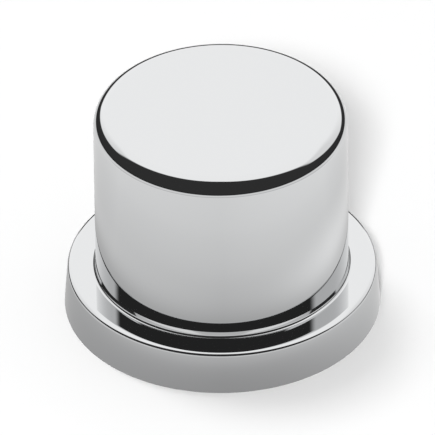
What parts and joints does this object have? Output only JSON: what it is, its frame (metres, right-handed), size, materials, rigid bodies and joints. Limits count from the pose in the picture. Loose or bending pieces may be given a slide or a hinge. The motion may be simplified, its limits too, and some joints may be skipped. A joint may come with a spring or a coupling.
{
  "type": "wheel nut cover cap",
  "caption": "Flat-topped round push-on cap with a flange and rim, hollow underneath with ribs that grip a hexagon wheel nut.",
  "frame": {"origin": "centre of the foot of the rim, on the cap's axis", "axes": "+Z along the cap's axis, from its open foot to its flat top; +X square to one flat of the nut it grips"},
  "size_m": [0.055, 0.055, 0.04],
  "materials": {
    "chrome_plate": "mirror-bright plating on moulded plastic"
  },
  "bodies": {
    "root": {"nut_cover": "chrome_plate"}
  },
  "joints": []
}
